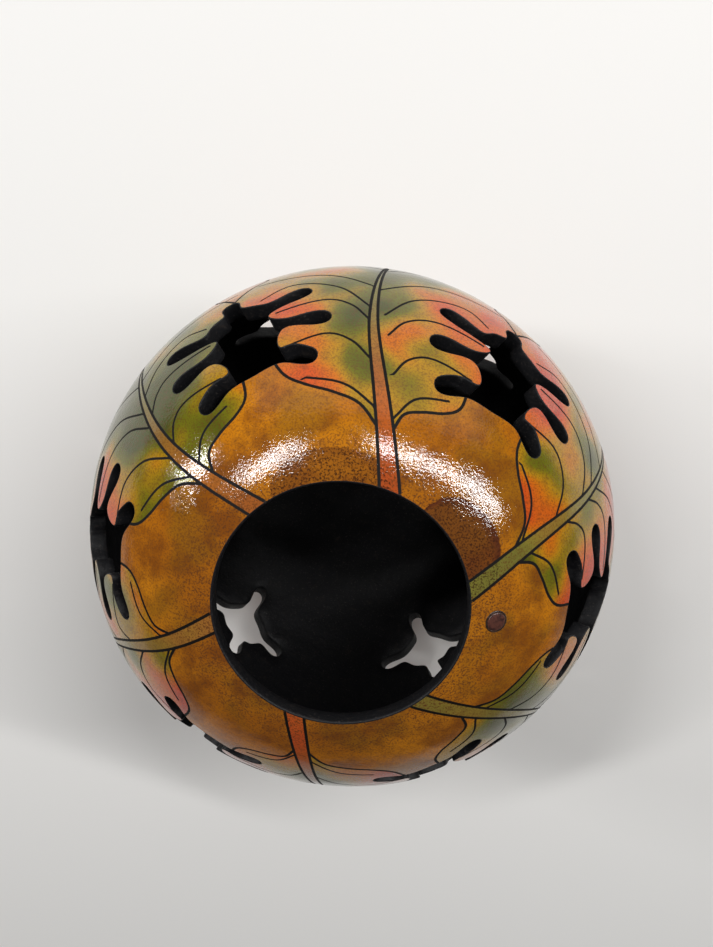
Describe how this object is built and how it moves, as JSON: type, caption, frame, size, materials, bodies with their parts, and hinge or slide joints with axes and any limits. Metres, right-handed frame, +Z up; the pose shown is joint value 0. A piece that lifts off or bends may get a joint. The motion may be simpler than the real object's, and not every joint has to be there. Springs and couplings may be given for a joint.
{
  "type": "carved gourd bowl",
  "caption": "Round hard-shell gourd bowl with a wide mouth, leaf-shaped windows sawn through its wall, a flat base and a glued dowel plug beside the rim.",
  "frame": {"origin": "middle of the flat base, on the surface that the bowl stands on", "axes": "+Z up along the gourd's axis and out of the mouth, +X towards the dowel plug, +Y towards the first leaf"},
  "size_m": [0.208, 0.208, 0.1694],
  "materials": {
    "dyed_shell": "amber dye and burned leaves under gloss varnish, black paint inside",
    "plug_wood": "varnished end grain"
  },
  "bodies": {
    "root": {"gourd_shell": "dyed_shell", "wood_plug": "plug_wood"}
  },
  "joints": []
}
